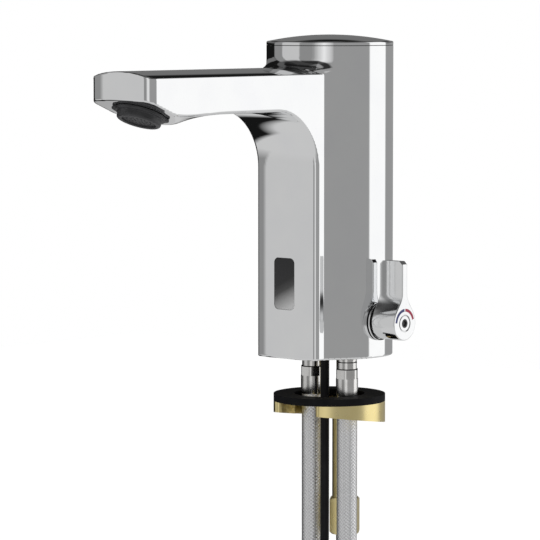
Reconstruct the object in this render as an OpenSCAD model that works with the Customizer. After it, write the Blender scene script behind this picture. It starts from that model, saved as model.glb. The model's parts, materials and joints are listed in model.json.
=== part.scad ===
// Electronic basin mixer tap for a single deck hole, in millimetres.
// Origin: centre of the tower on the deck. The spout points along -Y, the lever is on +X.

/* [Tower] */
// Radius of the round tower
tower_r = 29.3; // [28.5:0.1:32]
// Height of the tower above the spout's ridge, up to the seam under the cap
head_h = 10; // [8:0.1:40]
// Wall of the cast body
wall = 2.6; // [2.2:0.1:3]
// Height of the straight rim of the cap
cap_rim_h = 1.6; // [1.5:0.1:6]
// Rise of the domed cap above its rim
cap_rise = 3.1; // [1.5:0.1:6]

/* [Column and spout] */
// Width of the flat bar that forms the spout and the front of the column
bar_w = 36.6; // [34.5:0.1:38]
// Radius of the slightly convex front of the column and of the spout's end
front_r = 96; // [60:1:140]
// Radius of the upright corners of the column
column_corner_r = 2; // [1.5:0.05:3.5]
// Radius of the upright corners at the end of the spout
tip_corner_r = 4.1; // [2:0.05:6]
// How far the front of the column stands in front of the round tower
column_proud = 2.9; // [2.5:0.1:6]
// How far the flat flanks stand out from the round tower where they meet the bar
flank_proud = 1.9; // [1.2:0.1:2.2]
// Distance from the tower's axis to the end of the spout
spout_reach = 141; // [132:1:170]
// Height of the spout's ridge
spout_top = 133.2; // [125:0.1:160]
// Radius of the crowned top of the spout
crown_r = 58; // [50:1:90]
// Thickness of the spout from its ridge to its underside
spout_t = 19.3; // [18.5:0.1:24]
// Radius along the lower edges of the spout
edge_r = 1.7; // [1:0.1:2.5]
// Radius between the column and the underside of the spout
inner_r = 26.5; // [20:0.5:32]
// Radius between the tower and the top of the spout
root_r = 5; // [3:0.1:6]

/* [Outlet] */
// Tilt of the outlet towards the user, degrees
outlet_tilt = 21.4; // [15:0.1:25]
// Drop from the spout's ridge to the tilted face at the very end of the spout
lip_drop = 12.4; // [11.5:0.1:14]
// Distance from the end of the spout back to the centre of the outlet
outlet_back = 14.4; // [13:0.1:17]
// Radius of the round boss around the outlet
boss_r = 16.4; // [16:0.1:16.8]
// Radius of the aerator's body
aerator_r = 9.9; // [9:0.1:10.4]
// Radius over the aerator's two ears
ear_r = 12.8; // [12.2:0.1:13.4]

/* [Sensor] */
// Width of the sensor window
window_w = 12; // [10:0.1:13]
// Height of the sensor window
window_h = 23.6; // [20:0.1:26]
// Height of the middle of the window above the deck
window_z = 34.5; // [32:0.1:36]

/* [Lever] */
// Height of the lever's axis above the deck
lever_z = 16.8; // [16:0.1:17.5]
// Distance from the tower's axis to the lever's outer face
lever_reach = 45; // [43:0.1:50]
// Radius of the lever's hub
hub_r = 7.8; // [7.6:0.1:8.2]
// Height of the blade's top above the lever's axis
blade_h = 28.4; // [20:0.1:36]
// Thickness of the blade
blade_t = 3.5; // [3:0.1:4.5]

/* [Deck fastening] */
// Distance from the deck face down to the rubber washer, as shown
deck_gap = 18.6; // [18:0.1:24]
// Outer radius of the rubber washer and of the horseshoe
clamp_r = 26; // [25:0.1:27]
// Thickness of the rubber washer
gasket_t = 3.3; // [2:0.1:4]
// Radius of the stud, M8
stud_r = 4; // [3.9:0.05:4.1]
// Distance of the stud behind the tower's axis
stud_y = 11.2; // [10.6:0.1:11.4]
// Depth of the stud's end below the deck face
stud_depth = 96; // [95:1:120]
// Width of the sleeve nut's hexagon across its flats
nut_flats = 13; // [12.5:0.1:13.5]

/* [Supply hoses] */
// Distance of each hose from the middle
hose_x = 10.7; // [10.6:0.1:10.9]
// Outer radius of a braided hose
hose_r = 4.75; // [4.5:0.05:4.9]
// Full length of a supply hose below the deck face
hose_length = 350; // [349:0.5:352]
// Width of a union nut across its flats
union_flats = 19; // [18.5:0.1:20]
// Bore radius of a union nut's G3/8 thread
union_r = 7.5; // [7.4:0.05:7.6]

/* [Sensor cable] */
// Radius of the sensor cable
cable_r = 2.05; // [1.9:0.05:2.2]
// Distance of the cable in front of the tower's axis
cable_y = 3.2; // [3:0.1:3.4]

/* [Hidden] */
$fn = 96;

over = 1;             // overrun of every cut
slip = 0.2;           // radial gap of a piece that is simply put in its seat
run_gap = 0.05;       // radial gap of a shaft that turns or slides in its bore
part_gap = 0.3;       // gap between pieces that move past each other

bar_half = bar_w / 2;
tower_h = spout_top + head_h;
spout_under = spout_top - spout_t;
column_front = tower_r + column_proud;
flank_front = sqrt(pow(tower_r + flank_proud, 2) - pow(bar_half, 2));
bore_r = tower_r - wall;
cavity_half = bar_half - wall;
crown_z = spout_top - crown_r;
front_sag = front_r - sqrt(front_r * front_r - bar_half * bar_half);
column_edge = column_front - front_sag;
shoulder_z = spout_top - (crown_r - sqrt(crown_r * crown_r - bar_half * bar_half));
dome_r = (tower_r * tower_r + cap_rise * cap_rise) / (2 * cap_rise);
outlet_y = spout_reach - outlet_back;
outlet_z = spout_top - lip_drop - outlet_back * tan(outlet_tilt);

// Inside of the body
manifold_z0 = 1.2;                       // underside of the manifold, above the base seal
manifold_t = 8;
manifold_z1 = manifold_z0 + manifold_t;
lug_x = 16.2;
lug_y = 15.2;
lug_r = 4.9;
lug_h = 13;
screw_r = 2;
screw_head_r = 3.8;
screw_head_z = 2.2;
screw_head_h = 2.2;
base_seal_w = 3;
base_seal_t = 2;
cold_way_r = 1.1;
cold_way_y = 1.9;
cold_way_z = 7.4;

// Front cavity, spout cavity and window
cavity_floor = 12;
spout_cavity_h = 10.6;
window_corner = 2.4;
window_inset = 0.15;
window_t = 2.6;
module_w = 14;
module_h = 30;
module_t = 9.4;
led_r = 2.5;
led_spacing = 12;
led_h = 5;
board_w = 24;
board_h = 74;
board_t = 1.6;
board_z0 = 15;

// Cartridge and lever, from the middle outwards along X
seat_x0 = 5;
housing_r = 9;
housing_in = 7.8;
housing_x1 = 14;
housing_neck_r = 6.3;
seat_wall = 1;
seat_half = housing_r + seat_wall;
neck_x1 = sqrt(pow(bore_r - slip, 2) - pow(seat_half, 2)) - slip / 2;
nut_w = 2.9;
collar_x1 = neck_x1 - nut_w;
cart_seal_t = 0.6;
disc_t = 2.5;
disc_gap = 0.05;
disc_r = 7.3;
spindle_r = 4;
flange_t = 3;
ring_r = 8.7;
ring_in = 5.2;
ring_x0 = neck_x1;
ring_proud = 1.9;
ring_x1 = tower_r + ring_proud;
hub_x0 = ring_x1 + part_gap;
spindle_x1 = hub_x0 + 5;
blade_fillet = 6;
blade_chamfer = 1.6;
cap_disc_r = 3.75;
cap_recess_r = 3.95;
cap_disc_t = 1;
socket_r = 1.6;
socket_depth = 0.6;
lever_screw_r = 1.5;
lever_screw_head_r = 2.7;
lever_screw_head_h = 2;
mark_r = 6.1;
mark_w = 0.95;
mark_t = 0.3;
cold_from = 3;
cold_sweep = 82;
hot_sweep = 72;

// Solenoid valve and water way
pipe_x = 9;
pipe_r = 3.5;
pipe_wall = 0.8;
valve_z0 = 40;
valve_h = 14;
valve_x0 = -10;
valve_x1 = 14;
valve_y0 = -(column_front - window_t - module_t - board_t) + part_gap;
valve_y1 = 13;
coil_x = 2;
coil_y = 3;
coil_r = 10;
coil_h = 24;
diaphragm_r = 8;
diaphragm_t = 1.5;
plunger_r = 4.1;
plunger_l = 14;
plunger_stroke = 1.5;
spring_r = 3;
spring_wire = 0.4;
spring_turns = 5;
tube_y = -14;
tube_r = 4;
tube_wall = 1;
tube_bend = 10;
tube_z = spout_under + wall + spout_cavity_h / 2;

// Aerator, measured along its own axis from the tilted face
aerator_bore_r = 10.8;
outlet_wall = 8.7;                       // solid metal behind the aerator's bore
spout_cavity_end = outlet_y - aerator_bore_r - outlet_wall;
aerator_depth = 9.2;
aerator_drop = 4.6;
aerator_wall = 1.3;
ear_t = 1.5;
flange_r = 11.4;
ear_turn = 41.7;
ear_half_angle = 24;
insert_t = 4;
insert_gap = 0.8;
regulator_t = 2.4;
aerator_seal_t = 1.2;
boss_flare = 16.6;
boss_flare_h = 12;

// Fastening below the deck
gasket_in = 16.5;
horseshoe_top = deck_gap + gasket_t;
horseshoe_front_t = 4.4;
horseshoe_slope = 7.7;
horseshoe_in = 16.1;
horseshoe_web = 5.6;
mouth_half = 11.4;
mouth_x = -1.4;
mouth_r = 2;
seat_depth = 29.4;
seat_r = 8.2;
sleeve_r = 5.85;
sleeve_bore = 4.3;
hex_z1 = 68.6;
hex_h = 17.4;
nut_chamfer = 1.2;

// Hose ends
neck_r = 4.6;
neck_groove = 0.35;
groove_z = 3.1;
neck_h = 6.8;
flat_h = 4.2;
collar_r = 5.15;
collar_flats = 9.4;
collar_z = 19.5;
water_r = 3;
tail_start = 313;
ferrule_r = 5.6;
ferrule_h = 18;
union_h = 15;
union_shoulder = 2.5;
tail_r = 4.2;
tail_flange_r = 7.2;
tail_flange_t = 1.8;
seal_t = 1.5;
gland_r = 4.2;
gland_neck_r = 3.3;
gland_h = 2.6;
plug_r = 4.6;
plug_h = 28;
plug_neck_h = 8;
plug_neck_r = 3.2;
plug_rib_t = 1.2;

// Routes, chosen by hand; x of the hose is measured outwards on either side
HOSE_ROUTE = [
    [10.7, 0, -19.5], [10.7, 0, -30], [10.7, 0, -45], [10.7, 0, -60], [10.7, 0, -75],
    [10.7, 0, -90], [10.8, 0, -105], [11.1, 0, -120], [11.8, 0, -140], [12.8, 0, -160],
    [13.9, 0, -180], [15.0, 0, -200], [16.0, 0, -220], [16.8, 0, -240], [17.3, 0, -260],
    [17.5, 0, -275], [17.5, 0, -290], [17.5, 0, -302], [17.5, 0, -313]
];
CABLE_ROUTE = [
    [0, -3.2, 9.2], [0, -3.2, -1.4], [0, -3.2, -15], [0, -3.2, -30], [0, -3.2, -45], [0, -3.2, -60],
    [0, -3.2, -75], [0, -3.3, -90], [0, -3.6, -105], [0, -4.2, -120], [0, -5.2, -140],
    [0, -6.4, -160], [0, -7.6, -180], [0, -8.6, -200], [0, -9.3, -220], [0, -9.6, -240],
    [0, -9.6, -260], [0, -9.3, -280], [0, -8.9, -300], [0, -8.6, -320], [0, -8.5, -340],
    [0, -8.5, -360], [0, -8.5, -380], [0, -8.5, -400]
];
hose_end = HOSE_ROUTE[len(HOSE_ROUTE) - 1];
cable_end = CABLE_ROUTE[len(CABLE_ROUTE) - 1];

// Plain round bars along the three axes
module bar_z(r, z0, z1, x = 0, y = 0) {
    translate([x, y, z0]) cylinder(r = r, h = z1 - z0);
}
module bar_x(r, x0, x1, y = 0, z = lever_z) {
    translate([x0, y, z]) rotate([0, 90, 0]) cylinder(r = r, h = x1 - x0);
}
module tube_ring(ro, ri, z0, z1, x = 0, y = 0) {
    difference() {
        bar_z(ro, z0, z1, x, y);
        bar_z(ri, z0 - over, z1 + over, x, y);
    }
}
module hexagon(flats, z0, z1, x = 0, y = 0) {
    translate([x, y, z0]) cylinder(r = flats / 2 / cos(30), h = z1 - z0, $fn = 6);
}
module at_outlet() {
    translate([0, -outlet_y, outlet_z]) rotate([-outlet_tilt, 0, 0]) children();
}
module both_hoses_side(side) {
    if (side > 0) children(); else mirror([1, 0, 0]) children();
}

// Tube through the points of a route; each ring is square to the way from its neighbours
function unit(v) = v / norm(v);
function way(path, i) =
    unit(path[min(i + 1, len(path) - 1)] - path[max(i - 1, 0)]);
function ring_points(path, r, sides) = [
    for (i = [0 : len(path) - 1])
        let (
            t = (i == 0 || i == len(path) - 1) ? [0, 0, -1] : way(path, i),
            a = unit(cross([0, 1, 0], t)),
            b = cross(t, a)
        )
        for (k = [0 : sides - 1])
            path[i] + r * (cos(360 * k / sides) * a + sin(360 * k / sides) * b)
];
module swept_tube(path, r, sides) {
    n = len(path);
    sides_faces = [
        for (i = [0 : n - 2]) for (k = [0 : sides - 1])
            let (k2 = (k + 1) % sides)
            [i * sides + k, i * sides + k2, (i + 1) * sides + k2, (i + 1) * sides + k]
    ];
    first = [[for (k = [sides - 1 : -1 : 0]) k]];
    last = [[for (k = [0 : sides - 1]) (n - 1) * sides + k]];
    polyhedron(points = ring_points(path, r, sides),
               faces = concat(first, sides_faces, last), convexity = 4);
}

// Plan of the bar: straight sides, upright corners and a slightly convex front
module bar_plan(front, corner_r) {
    arc_y = front_r - front;
    corner_x = bar_half - corner_r;
    corner_y = arc_y - sqrt(pow(front_r - corner_r, 2) - pow(corner_x, 2));
    reach_share = 2;
    translate([-bar_half, corner_y]) square([bar_w, -corner_y]);
    intersection() {
        translate([0, arc_y]) circle(front_r, $fn = 360);
        polygon([
            [0, arc_y],
            [-reach_share * corner_x, arc_y + reach_share * (corner_y - arc_y)],
            [reach_share * corner_x, arc_y + reach_share * (corner_y - arc_y)]
        ]);
    }
    for (s = [-1, 1]) translate([s * corner_x, corner_y]) circle(corner_r);
}

// Flat flanks, tangent to the tower and ending on the sides of the column
module flank_plan() {
    far = norm([bar_half, flank_front]);
    turn = atan2(flank_front, bar_half) - acos(tower_r / far);
    touch = [tower_r * cos(turn), -tower_r * sin(turn)];
    polygon([
        touch, [bar_half, -flank_front], [-bar_half, -flank_front],
        [-touch[0], touch[1]]
    ]);
}

// Cross-section of the spout, with rounded lower edges
module spout_section() {
    translate([-bar_half, spout_under + edge_r])
        square([bar_w, spout_top - spout_under - edge_r]);
    translate([-(bar_half - edge_r), spout_under])
        square([bar_w - 2 * edge_r, spout_top - spout_under]);
    for (s = [-1, 1])
        translate([s * (bar_half - edge_r), spout_under + edge_r]) circle(edge_r);
}

// Everything under the crowned top of the spout
module under_crown() {
    rotate([90, 0, 0])
        translate([0, 0, -over])
            linear_extrude(spout_reach + 2 * over) {
                translate([0, crown_z]) circle(crown_r, $fn = 360);
                translate([-crown_r, -over]) square([2 * crown_r, crown_z + over]);
            }
}

// Hollow corner between the column and the spout's underside, with rounded edges
module inner_corner() {
    depth = tower_r / 2;
    translate([0, -(column_edge + inner_r), spout_under - inner_r])
        rotate([0, 90, 0])
            rotate([0, 0, 90])
                rotate_extrude(angle = 90, $fn = 180) {
                    translate([inner_r + edge_r, -bar_half]) square([depth, bar_w]);
                    translate([inner_r, -(bar_half - edge_r)])
                        square([depth, bar_w - 2 * edge_r]);
                    for (s = [-1, 1])
                        translate([inner_r + edge_r, s * (bar_half - edge_r)])
                            circle(edge_r);
                }
}

// Hollow curve between the tower and the top of the spout
module tower_root() {
    intersection() {
        translate([0, 0, shoulder_z])
            rotate_extrude()
                difference() {
                    translate([tower_r - wall, -root_r / 2])
                        square([wall + root_r, root_r * 3 / 2]);
                    translate([tower_r + root_r, root_r]) circle(root_r);
                }
        linear_extrude(tower_h) {
            bar_plan(spout_reach, tip_corner_r);
            flank_plan();
        }
        translate([-crown_r, -spout_reach, 0])
            cube([2 * crown_r, spout_reach - bar_half / 2, tower_h]);
    }
}

// Flat bar of the spout, with a round boss under its tip that ramps up to the underside
module spout_bar() {
    intersection() {
        union() {
            rotate([90, 0, 0]) linear_extrude(spout_reach) spout_section();
            at_outlet() cylinder(r1 = boss_r, r2 = boss_r + boss_flare, h = boss_flare_h);
        }
        linear_extrude(spout_top) bar_plan(spout_reach, tip_corner_r);
    }
}

module window_shape(grow) {
    r = window_corner + grow;
    w = window_w / 2 - window_corner;
    h = window_h / 2 - window_corner;
    translate([0, -spout_cavity_end, window_z])
        rotate([-90, 0, 0])
            linear_extrude(spout_cavity_end) {
                for (sx = [-1, 1]) for (sy = [-1, 1])
                    translate([sx * w, sy * h]) circle(r);
                translate([-w - r, -h]) square([2 * (w + r), 2 * h]);
                translate([-w, -h - r]) square([2 * w, 2 * (h + r)]);
            }
}

module lug_places() {
    for (sx = [-1, 1]) for (sy = [-1, 1]) translate([sx * lug_x, sy * lug_y, 0]) children();
}

// The cast body: tower, column front and spout in one hollow casting
module body_shell() {
    color("silver") difference() {
        union() {
            bar_z(tower_r, 0, tower_h);
            intersection() {
                union() {
                    linear_extrude(spout_top) {
                        bar_plan(column_front, column_corner_r);
                        flank_plan();
                    }
                    spout_bar();
                    inner_corner();
                }
                under_crown();
            }
            tower_root();
        }
        // room in the tower, less the four screw lugs
        difference() {
            bar_z(bore_r, -over, tower_h + over);
            lug_places() bar_z(lug_r, manifold_z1, manifold_z1 + lug_h);
        }
        lug_places() bar_z(screw_r, manifold_z1 - over, manifold_z1 + lug_h - over);
        // room in the column front and in the spout
        translate([-cavity_half, -(column_edge - wall), cavity_floor])
            cube([2 * cavity_half, column_edge - wall - bar_half / 2,
                  spout_under - cavity_floor + wall + over]);
        translate([-cavity_half, -spout_cavity_end, spout_under + wall])
            cube([2 * cavity_half, spout_cavity_end - bar_half / 2, spout_cavity_h]);
        // sensor window
        intersection() {
            window_shape(slip / 2);
            translate([-bar_half, -column_front - over, 0])
                cube([bar_w, column_front + over - column_edge + wall + over, spout_under]);
        }
        // lever
        bar_x(ring_r + slip, ring_x0 - over, tower_r + over);
        // tilted outlet: flat face, bore of the aerator and water way
        at_outlet()
            translate([-bar_w, -spout_reach / 2, -boss_r * 2])
                cube([2 * bar_w, spout_reach / 2 + boss_r + boss_flare, boss_r * 2]);
        at_outlet() translate([0, 0, -over]) cylinder(r = aerator_bore_r, h = aerator_depth + over);
        translate([0, -outlet_y + aerator_bore_r / 2, tube_z])
            rotate([-90, 0, 0]) cylinder(r = tube_r + slip / 2, h = outlet_y - spout_cavity_end);
        // seam under the cap
        difference() {
            bar_z(tower_r + over, tower_h - part_gap / 2, tower_h + over);
            bar_z(tower_r - 2 * part_gap, tower_h - over, tower_h + 2 * over);
        }
    }
}

module top_cap() {
    spigot_h = 2.6 * cap_rim_h;
    groove_r = bore_r - wall / 2;
    color("silver") difference() {
        union() {
            intersection() {
                bar_z(tower_r, tower_h, tower_h + cap_rim_h + cap_rise + over);
                translate([0, 0, tower_h + cap_rim_h + cap_rise - dome_r])
                    sphere(dome_r, $fn = 360);
            }
            bar_z(bore_r - slip, tower_h - spigot_h, tower_h + over);
        }
        bar_z(bore_r - 2 * wall, tower_h - spigot_h - over, tower_h);
        tube_ring(tower_r, groove_r, tower_h - spigot_h + wall / 2, tower_h - spigot_h / 4);
        difference() {
            bar_z(tower_r + over, tower_h - over, tower_h + part_gap / 2);
            bar_z(tower_r - 2 * part_gap, tower_h - 2 * over, tower_h + over);
        }
    }
}

module cap_seal() {
    spigot_h = 2.6 * cap_rim_h;
    groove_r = bore_r - wall / 2;
    color("black")
        tube_ring(bore_r - run_gap, groove_r, tower_h - spigot_h + wall / 2,
                  tower_h - spigot_h / 4);
}

// Brass block that closes the base: water inlets, stud thread and cartridge seat
module inlet_manifold() {
    color("goldenrod") difference() {
        union() {
            bar_z(bore_r - slip, manifold_z0, manifold_z1);
            translate([seat_x0 - 3 * seat_wall, -seat_half, manifold_z1 - over])
                cube([neck_x1 - seat_x0 + 3 * seat_wall, 2 * seat_half,
                      lever_z + seat_half - manifold_z1 + over]);
        }
        bar_x(housing_r + slip / 2, seat_x0, tower_r);
        for (s = [-1, 1]) bar_z(neck_r, -over, manifold_z0 + manifold_t / 2 + over, s * hose_x);
        for (s = [-1, 1]) bar_z(water_r, 0, lever_z - housing_r + over, s * hose_x);
        bar_x(cold_way_r, -hose_x, seat_x0 + over / 2, cold_way_y, cold_way_z);
        bar_z(stud_r, -over, manifold_z1 + over, 0, stud_y);
        bar_z(gland_neck_r, -over, manifold_z1 + over, 0, -cable_y);
        bar_z(pipe_r, lever_z, lever_z + seat_half + over, pipe_x);
        lug_places() {
            bar_z(screw_r + slip, -over, manifold_z1 + over);
            bar_z(screw_head_r + slip, 0, screw_head_z + screw_head_h);
        }
        tube_ring(bore_r, bore_r - base_seal_w, 0, base_seal_t);
    }
}

module manifold_screws() {
    color("silver") lug_places() {
        bar_z(screw_head_r, screw_head_z, screw_head_z + screw_head_h);
        bar_z(screw_r, screw_head_z, manifold_z1 + lug_h - 3 * over);
    }
}

module base_seal() {
    color("black") tube_ring(bore_r - slip, bore_r - base_seal_w, 0, base_seal_t);
}

// Mixing cartridge
module cartridge_seal() {
    color("black") difference() {
        bar_x(housing_r, seat_x0, seat_x0 + cart_seal_t);
        bar_x(spindle_r, seat_x0 - over, seat_x0 + cart_seal_t + over);
    }
}

module cartridge_housing() {
    x0 = seat_x0 + cart_seal_t;
    color("white") difference() {
        union() {
            bar_x(housing_r, x0, collar_x1);
            bar_x(housing_neck_r, x0, neck_x1);
        }
        bar_x(housing_in, x0 - over, housing_x1);
        bar_x(spindle_r + run_gap, x0, neck_x1 + over);
        bar_z(pipe_r - pipe_wall, lever_z, lever_z + housing_r + over, pipe_x);
    }
}

module fixed_disc() {
    x0 = seat_x0 + cart_seal_t;
    color("white") difference() {
        bar_x(housing_in - run_gap, x0, x0 + disc_t);
        for (s = [-1, 1])
            bar_x(socket_r, x0 - over, x0 + disc_t + over, s * disc_r / 2);
    }
}

moving_x0 = seat_x0 + cart_seal_t + disc_t + disc_gap;
module moving_disc() {
    color("white") difference() {
        bar_x(disc_r, moving_x0, moving_x0 + disc_t);
        bar_x(socket_r, moving_x0 - over, moving_x0 + disc_t + over, 0, lever_z + disc_r / 2);
    }
}

module spindle() {
    x0 = moving_x0 + disc_t;
    color("white") difference() {
        union() {
            bar_x(disc_r, x0, x0 + flange_t);
            bar_x(spindle_r, x0, spindle_x1);
        }
        bar_x(lever_screw_r, spindle_x1 - 2 * flange_t, spindle_x1 + over);
    }
}

module cartridge_nut() {
    color("goldenrod") difference() {
        bar_x(housing_r + slip / 2, collar_x1, neck_x1);
        bar_x(housing_neck_r + slip, collar_x1 - over, neck_x1 + over);
    }
}

module lever_base_ring() {
    color("silver") difference() {
        bar_x(ring_r, ring_x0, ring_x1);
        bar_x(ring_in, ring_x0 - over, ring_x1 + over);
    }
}

// Outline of the lever seen from its end: round hub, upright blade, hollow flanks
module lever_outline() {
    half = blade_t / 2;
    side = half + blade_fillet;
    rise = sqrt(pow(hub_r + blade_fillet - run_gap, 2) - pow(side, 2));
    foot = atan2(rise, side);
    steps = 16;
    arc = [
        for (i = [0 : steps])
            let (a = 180 + foot * (1 - i / steps))
            [side + blade_fillet * cos(a), rise + blade_fillet * sin(a)]
    ];
    circle(hub_r);
    polygon(concat(
        [[0, 0]], arc, [[half, blade_h], [-half, blade_h]],
        [for (i = [steps : -1 : 0]) [-arc[i][0], arc[i][1]]]
    ));
}

module mark_sector(from, sweep) {
    translate([lever_reach - mark_t, 0, lever_z])
        rotate([0, 90, 0])
            rotate([0, 0, from])
                rotate_extrude(angle = sweep)
                    translate([mark_r - mark_w / 2, 0]) square([mark_w, mark_t]);
}

// Local angle 180 points up; cold is towards the user, hot away
module cold_mark() {
    color("navy") mark_sector(180 + cold_from, cold_sweep);
}
module hot_mark() {
    color("crimson") mark_sector(180 - cold_from - hot_sweep, hot_sweep);
}

module lever() {
    color("silver") difference() {
        translate([hub_x0, 0, lever_z])
            rotate([90, 0, 90])
                linear_extrude(lever_reach - hub_x0) lever_outline();
        bar_x(spindle_r, hub_x0 - over, spindle_x1);
        bar_x(lever_screw_r, hub_x0, lever_reach);
        bar_x(lever_screw_head_r, lever_reach - cap_disc_t - lever_screw_head_h, lever_reach);
        bar_x(cap_recess_r, lever_reach - cap_disc_t, lever_reach + over);
        cold_mark();
        hot_mark();
        // bevelled top corners of the blade
        for (x = [hub_x0, lever_reach])
            translate([x, 0, lever_z + blade_h])
                rotate([0, 45, 0])
                    cube([blade_chamfer * sqrt(2), blade_t * 2, blade_chamfer * sqrt(2)],
                         center = true);
    }
}

module lever_screw() {
    head_x = lever_reach - cap_disc_t - lever_screw_head_h;
    color("silver") {
        bar_x(lever_screw_head_r, head_x, head_x + lever_screw_head_h);
        bar_x(lever_screw_r, spindle_x1 - 2 * flange_t + over, head_x);
    }
}

module lever_cap() {
    color("silver") difference() {
        bar_x(cap_disc_r, lever_reach - cap_disc_t, lever_reach);
        bar_x(socket_r, lever_reach - socket_depth, lever_reach + over);
    }
}

// Solenoid valve and water way
module mixed_water_pipe() {
    color("peru") difference() {
        bar_z(pipe_r, lever_z + housing_r + slip, valve_z0, pipe_x);
        bar_z(pipe_r - pipe_wall, lever_z, valve_z0 + over, pipe_x);
    }
}

module valve_body() {
    color("ivory") difference() {
        translate([valve_x0, valve_y0, valve_z0])
            cube([valve_x1 - valve_x0, valve_y1 - valve_y0, valve_h]);
        bar_z(pipe_r - pipe_wall, valve_z0 - over, valve_z0 + valve_h / 2, pipe_x);
        bar_z(diaphragm_r, valve_z0 + valve_h - diaphragm_t, valve_z0 + valve_h + over, coil_x, coil_y);
        bar_z(diaphragm_r / 2, valve_z0 + valve_h / 2, valve_z0 + valve_h, coil_x, coil_y);
        bar_z(tube_r - tube_wall, valve_z0 + valve_h / 2, valve_z0 + valve_h + over, 0, tube_y);
    }
}

module diaphragm() {
    z1 = valve_z0 + valve_h;
    color("black") difference() {
        bar_z(diaphragm_r - run_gap, z1 - diaphragm_t, z1, coil_x, coil_y);
        bar_z(spring_wire, z1 - diaphragm_t - over, z1 + over, coil_x + diaphragm_r / 2, coil_y);
    }
}

module solenoid_coil() {
    z0 = valve_z0 + valve_h;
    color("dimgray") difference() {
        bar_z(coil_r, z0, z0 + coil_h, coil_x, coil_y);
        bar_z(plunger_r + run_gap, z0 - over, z0 + coil_h - wall, coil_x, coil_y);
    }
}

module plunger() {
    z0 = valve_z0 + valve_h + run_gap;
    color("silver") bar_z(plunger_r, z0, z0 + plunger_l, coil_x, coil_y);
}

function spring_path(z0, z1) = [
    for (i = [0 : 8 * spring_turns])
        [coil_x + spring_r * cos(45 * i), coil_y + spring_r * sin(45 * i),
         z0 + (z1 - z0) * i / (8 * spring_turns)]
];
module plunger_spring() {
    z0 = valve_z0 + valve_h + run_gap + plunger_l + spring_wire + run_gap;
    z1 = valve_z0 + valve_h + coil_h - wall - spring_wire - run_gap;
    path = spring_path(z0, z1);
    n = len(path);
    sides = 6;
    points = [
        for (i = [0 : n - 1])
            let (
                t = way(path, i),
                a = unit([path[i][0] - coil_x, path[i][1] - coil_y, 0]),
                b = cross(t, a)
            )
            for (k = [0 : sides - 1])
                path[i] + spring_wire * (cos(60 * k) * a + sin(60 * k) * b)
    ];
    faces = [
        for (i = [0 : n - 2]) for (k = [0 : sides - 1])
            let (k2 = (k + 1) % sides)
            [i * sides + k, i * sides + k2, (i + 1) * sides + k2, (i + 1) * sides + k]
    ];
    color("silver")
        polyhedron(points = points,
                   faces = concat([[for (k = [sides - 1 : -1 : 0]) k]], faces,
                                  [[for (k = [0 : sides - 1]) (n - 1) * sides + k]]),
                   convexity = 8);
}

module tube_profile(r) {
    leg_z1 = tube_z - tube_bend;
    run_y1 = outlet_y - aerator_bore_r - wall;
    bar_z(r, valve_z0 + valve_h, leg_z1, 0, tube_y);
    translate([0, tube_y - tube_bend, leg_z1])
        rotate([90, 0, 90])
            rotate_extrude(angle = 90) translate([tube_bend, 0]) circle(r);
    translate([0, tube_y - tube_bend, tube_z])
        rotate([90, 0, 0]) cylinder(r = r, h = run_y1 + tube_y - tube_bend);
}

module water_tube() {
    leg_z1 = tube_z - tube_bend;
    run_y1 = outlet_y - aerator_bore_r - wall;
    in_r = tube_r - tube_wall;
    color("peru") difference() {
        tube_profile(tube_r);
        tube_profile(in_r);
        bar_z(in_r, valve_z0 + valve_h - over, leg_z1, 0, tube_y);
        translate([0, tube_y - tube_bend, tube_z])
            rotate([90, 0, 0]) cylinder(r = in_r, h = run_y1 + tube_y - tube_bend + over);
    }
}

// Sensor
module sensor_window() {
    color("black") intersection() {
        translate([0, window_inset, 0]) linear_extrude(spout_under) bar_plan(column_front, column_corner_r);
        window_shape(0);
        translate([-bar_half, -column_front, 0]) cube([bar_w, window_t, spout_under]);
    }
}

module sensor_module() {
    y0 = -column_front + window_t;
    color("black") difference() {
        union() {
            translate([-module_w / 2, -(column_edge - wall), window_z - module_h / 2])
                cube([module_w, module_t + y0 + column_edge - wall, module_h]);
            intersection() {
                window_shape(-slip);
                translate([-module_w, y0, 0]) cube([2 * module_w, module_t, spout_under]);
            }
        }
        for (s = [-1, 1])
            translate([0, y0 - over, window_z + s * led_spacing / 2])
                rotate([-90, 0, 0]) cylinder(r = led_r + run_gap, h = led_h + led_r + over);
    }
}

module led(s) {
    y0 = -column_front + window_t;
    translate([0, y0 + led_r, window_z + s * led_spacing / 2]) {
        sphere(led_r);
        rotate([-90, 0, 0]) cylinder(r = led_r, h = led_h);
    }
}
module ir_emitter() { color("midnightblue") led(1); }
module ir_receiver() { color("midnightblue") led(-1); }

module control_board() {
    y0 = -column_front + window_t + module_t;
    color("green") translate([-board_w / 2, y0, board_z0]) cube([board_w, board_t, board_h]);
}

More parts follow.
